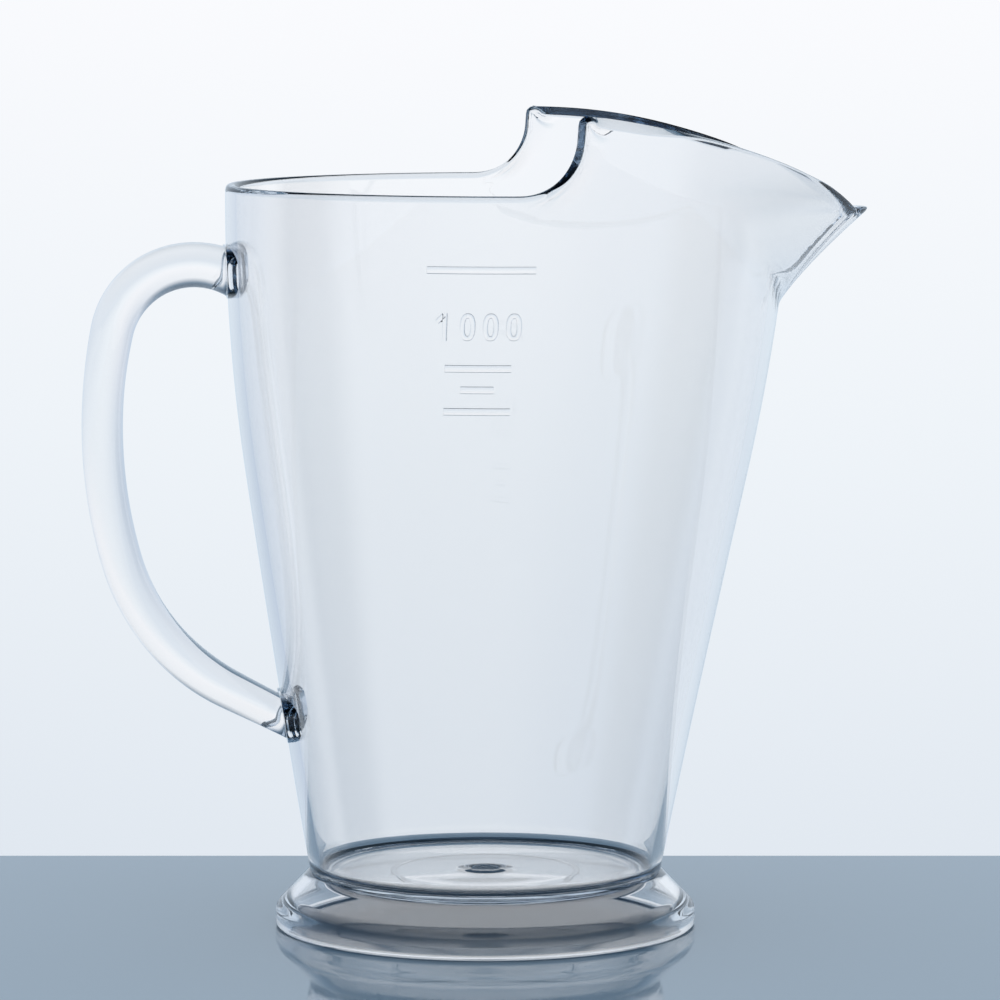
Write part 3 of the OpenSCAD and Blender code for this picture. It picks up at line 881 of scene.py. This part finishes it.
def add_node(tree, kind, settings=None, **inputs):
    """Add a node with its settings. An input is a value or a socket to link from, i7 is input number 7."""
    node = tree.nodes.new(kind)
    for key, value in (settings or {}).items():
        setattr(node, key, value)
    for key, value in inputs.items():
        numbered = key[0] == "i" and key[1:].isdigit()
        socket = node.inputs[int(key[1:])] if numbered else node.inputs[key.replace("_", " ")]
        if isinstance(value, bpy.types.NodeSocket):
            tree.links.new(value, socket)
        else:
            socket.default_value = value
    return node


def new_material(name):
    material = bpy.data.materials.new(name)
    material.use_nodes = True
    material.node_tree.nodes.clear()
    return material, material.node_tree


# Polycarbonate: refractive index, clear surface, and the faint cold tint that shows in its depth
POLYCARBONATE_IOR = 1.585
CLEAR = 0xFFFFFF
DEPTH_TINT = 0xB4D2E8
# Flow waves that the mould leaves in the surface: 70 to the metre, so about 14 mm from wave to wave, their
# height in mm and their strength
FLOW_WAVES = 70.0
FLOW_HEIGHT = 0.2
FLOW_STRENGTH = 0.04


# Strength of the tint per metre of depth. The cup's strength is the plastic's own. The solid handle's least
# strength is painted light, which makes it brighter than the plastic is. The foot's most strength is painted
# shade, so that it looks darkest.
CUP_DENSITY = 8.0
HANDLE_DENSITY_PAINTED_LIGHT = 3.0
FOOT_DENSITY_PAINTED_SHADE = 20.0


def clear_polycarbonate(name, density):
    """Injection-moulded clear polycarbonate, polished.

    The eye sees bright, almost colourless walls with thin dark lines where an edge bends the view away, a
    cold tint where it looks along the wall, and slightly wavy reflections.
    """
    material, tree = new_material(name)
    place = add_node(tree, "ShaderNodeTexCoord").outputs["Object"]
    waves = add_node(tree, "ShaderNodeTexNoise", Vector=place, Scale=FLOW_WAVES, Detail=2.0, Roughness=0.4)
    bump = add_node(
        tree, "ShaderNodeBump", Strength=FLOW_STRENGTH, Distance=FLOW_HEIGHT * MM, Height=waves.outputs[0],
    )
    surface = add_node(
        tree, "ShaderNodeBsdfPrincipled", Base_Color=linear(CLEAR), Roughness=0.0, IOR=POLYCARBONATE_IOR,
        Transmission_Weight=1.0, Normal=bump.outputs[0],
    )
    # The density comes per piece: a lower one paints light into the handle, and a higher one paints shade
    # into the foot
    depth = add_node(tree, "ShaderNodeVolumeAbsorption", Color=linear(DEPTH_TINT), Density=density)
    add_node(tree, "ShaderNodeOutputMaterial", Surface=surface.outputs[0], Volume=depth.outputs[0])
    return material


def lacquered_board(name, colour):
    """Lacquered table top, rolled smooth.

    The eye sees a plain pale blue-grey, with a slightly blurred mirror image of what stands on it.
    """
    material, tree = new_material(name)
    surface = add_node(tree, "ShaderNodeBsdfPrincipled", Base_Color=linear(colour), Roughness=0.05, IOR=1.5)
    add_node(tree, "ShaderNodeOutputMaterial", Surface=surface.outputs[0])
    return material


# Camera: where the photograph was taken from, and its lens in pixels of the square frame
CAMERA_DISTANCE = 1172.35
CAMERA_HEIGHT = 220.77
CAMERA_SIDE = 3.37
CAMERA_YAW = math.radians(4.784)
CAMERA_DOWN = math.radians(6.007)
FOCAL_PX = 5180
FRAME_PX = 1000
SENSOR_W = 36


def view_axes():
    ahead = Vector((math.sin(CAMERA_YAW), math.cos(CAMERA_YAW), 0))
    right = Vector((math.cos(CAMERA_YAW), -math.sin(CAMERA_YAW), 0))
    return ahead, right


def add_camera():
    ahead, right = view_axes()
    up = Vector((0, 0, 1))
    look = ahead * math.cos(CAMERA_DOWN) - up * math.sin(CAMERA_DOWN)
    top = ahead * math.sin(CAMERA_DOWN) + up * math.cos(CAMERA_DOWN)
    data = bpy.data.cameras.new("camera")
    data.sensor_width = SENSOR_W
    data.lens = FOCAL_PX / FRAME_PX * SENSOR_W
    camera = bpy.data.objects.new("camera", data)
    camera.matrix_world = Matrix((right, top, -look)).transposed().to_4x4()
    camera.location = (right * CAMERA_SIDE - ahead * CAMERA_DISTANCE + up * CAMERA_HEIGHT) * MM
    bpy.context.scene.collection.objects.link(camera)
    bpy.context.scene.camera = camera


# Table: it ends a little way behind the jug, square to the view
TABLE_EDGE = 88
TABLE_W = 2400
TABLE_D = 2400
TABLE_T = 24
TABLE_COLOUR = 0x71899D


def add_table():
    ahead, right = view_axes()
    front = TABLE_EDGE - TABLE_D
    verts = []
    for z in (0, -TABLE_T):
        for u, w in ((-0.5, TABLE_EDGE), (0.5, TABLE_EDGE), (0.5, front), (-0.5, front)):
            p = right * u * TABLE_W + ahead * w
            verts.append([p.x, p.y, z])
    faces = [(3, 2, 1, 0), (4, 5, 6, 7), (0, 1, 5, 4), (1, 2, 6, 5), (2, 3, 7, 6), (3, 0, 4, 7)]
    table = add_mesh("table", verts, faces)
    table.data.materials.append(lacquered_board("lacquered_table", TABLE_COLOUR))


# Light of the studio by the sine of its height, from straight below to overhead
SKY = (
    (-1.0, 0xDDE6EE),
    (-0.5, 0xEDF2F8),
    (-0.17, 0xE2E9F1),
    (-0.09, 0xEFF4F9),
    (-0.01, 0xFAFBFE),
    (0.28, 0xF4F7FB),
    (0.48, 0x8798A9),
    (0.7, 0x2A3848),
)
# Cooler light on the handle's side, between two sines of the turn towards it. The second one is more than 1,
# so the tint never gets full.
SIDE_TINT = 0xADBED4
SIDE_FROM = 0.0
SIDE_TO = 1.2
# The lit backdrop ends between two angles in degrees from the photograph's view. Clear edges show the dark
# room beyond it, as far as the pale wall at the back, which starts between the other two angles.
FIELD_FROM = 56
FIELD_TO = 70
REAR_WALL_FROM = 90
REAR_WALL_TO = 112
DARK_ROOM = 0x2C4862
# What only reflections catch is a little dimmer and bluer
MIRRORED_TINT = 0xDDE9F3
# Dull surfaces get the same plain soft light from all round, so a colour shows about as it is written
PLAIN_LIGHT = 0xF4F7FA


def sky_colour(tree, direction, right):
    """Colour of the light by its height, made cooler towards the handle's side."""
    height = add_node(tree, "ShaderNodeSeparateXYZ", Vector=direction).outputs[2]
    share = add_node(tree, "ShaderNodeMath", {"operation": "MULTIPLY_ADD"}, i0=height, i1=0.5, i2=0.5)
    ramp = add_node(tree, "ShaderNodeValToRGB", Fac=share.outputs[0])
    elements = ramp.color_ramp.elements
    while len(elements) < len(SKY):
        elements.new(0.5)
    for element, (sine, colour) in zip(elements, SKY):
        element.position = (sine + 1) / 2
        element.color = linear(colour)
    dot = {"operation": "DOT_PRODUCT"}
    leftward = add_node(tree, "ShaderNodeVectorMath", dot, i0=direction, i1=tuple(-right))
    shade = add_node(
        tree, "ShaderNodeMapRange", {"interpolation_type": "SMOOTHSTEP"},
        Value=leftward.outputs["Value"], From_Min=SIDE_FROM, From_Max=SIDE_TO,
    )
    settings = {"data_type": "RGBA", "blend_type": "MULTIPLY"}
    side = add_node(
        tree, "ShaderNodeMix", settings, i0=shade.outputs[0], i6=ramp.outputs[0], i7=linear(SIDE_TINT),
    )
    return side.outputs[2]


def dark_ring(tree, direction, ahead):
    """How far a direction lies in the dark room, between the lit backdrop and the wall at the back."""
    dot = {"operation": "DOT_PRODUCT"}
    forward = add_node(tree, "ShaderNodeVectorMath", dot, i0=direction, i1=tuple(ahead))
    limits = []
    for start, end in ((FIELD_FROM, FIELD_TO), (REAR_WALL_TO, REAR_WALL_FROM)):
        limits.append(add_node(
            tree, "ShaderNodeMapRange", {"interpolation_type": "SMOOTHSTEP"}, Value=forward.outputs["Value"],
            From_Min=math.cos(math.radians(start)), From_Max=math.cos(math.radians(end)),
        ).outputs[0])
    return add_node(tree, "ShaderNodeMath", {"operation": "MULTIPLY"}, i0=limits[0], i1=limits[1]).outputs[0]


def set_world():
    """Soft light from all round.

    What is seen, straight or through the clear pieces, is pale at eye level and dark overhead and to the
    sides. Reflections get it without the dark sides and a little bluer, and dull surfaces get plain light.
    """
    world = bpy.data.worlds.new("studio")
    bpy.context.scene.world = world
    world.use_nodes = True
    tree = world.node_tree
    tree.nodes.clear()
    ahead, right = view_axes()
    direction = add_node(tree, "ShaderNodeTexCoord").outputs["Generated"]
    path = add_node(tree, "ShaderNodeLightPath").outputs
    seen = add_node(
        tree, "ShaderNodeMath", {"operation": "MAXIMUM"},
        i0=path["Is Camera Ray"], i1=path["Is Transmission Ray"],
    ).outputs[0]
    unseen = add_node(tree, "ShaderNodeMath", {"operation": "SUBTRACT"}, i0=1.0, i1=seen).outputs[0]
    ring = dark_ring(tree, direction, ahead)
    beyond = add_node(tree, "ShaderNodeMath", {"operation": "MULTIPLY"}, i0=ring, i1=seen).outputs[0]
    sky = sky_colour(tree, direction, right)
    room = add_node(
        tree, "ShaderNodeMix", {"data_type": "RGBA"}, i0=beyond, i6=sky, i7=linear(DARK_ROOM),
    ).outputs[2]
    tinted = {"data_type": "RGBA", "blend_type": "MULTIPLY"}
    colour = add_node(tree, "ShaderNodeMix", tinted, i0=unseen, i6=room, i7=linear(MIRRORED_TINT)).outputs[2]
    clear = add_node(
        tree, "ShaderNodeMath", {"operation": "MAXIMUM"}, i0=seen, i1=path["Is Glossy Ray"],
    ).outputs[0]
    light = add_node(
        tree, "ShaderNodeMix", {"data_type": "RGBA"}, i0=clear, i6=linear(PLAIN_LIGHT), i7=colour,
    )
    back = add_node(tree, "ShaderNodeBackground", Color=light.outputs[2])
    add_node(tree, "ShaderNodeOutputWorld", Surface=back.outputs[0])


def finish_piece(piece, node, plastic):
    """Shade a piece smooth between its sharp edges, give it its plastic and put it in its node's place."""
    piece.data.shade_smooth()
    piece.data.set_sharp_from_angle(angle=math.radians(SHARP_ANGLE))
    piece.data.materials.clear()
    piece.data.materials.append(plastic)
    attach(piece, "root")
    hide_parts(node)


add_camera()
add_table()
set_world()

cup = make_cup()
seats = [seat_block(BAR[0], UPPER_SLANT, 0), seat_block(BAR[-1], LOWER_SLANT, BAR_L)]
unite(cup, seats + mark_strokes(), "cup_raised_parts")
handle = make_handle()
foot = make_foot()

# Handle and foot are the same plastic as the cup. Their tint strengths put painted light in the handle and
# painted shade in the foot.
cup_plastic = clear_polycarbonate("moulded_polycarbonate_cup", CUP_DENSITY)
handle_plastic_painted_light = clear_polycarbonate("moulded_polycarbonate_handle_painted_light", HANDLE_DENSITY_PAINTED_LIGHT)
foot_plastic_painted_shade = clear_polycarbonate("moulded_polycarbonate_foot_painted_shade", FOOT_DENSITY_PAINTED_SHADE)
finish_piece(cup, "cup_body", cup_plastic)
finish_piece(handle, "handle_bar", handle_plastic_painted_light)
finish_piece(foot, "foot_ring", foot_plastic_painted_shade)

# Light passes many clear faces in the walls before it comes out
LIGHT_BOUNCES = 32
scene = bpy.context.scene
scene.view_settings.view_transform = "Standard"
scene.cycles.max_bounces = LIGHT_BOUNCES
scene.cycles.transmission_bounces = LIGHT_BOUNCES
scene.cycles.glossy_bounces = LIGHT_BOUNCES
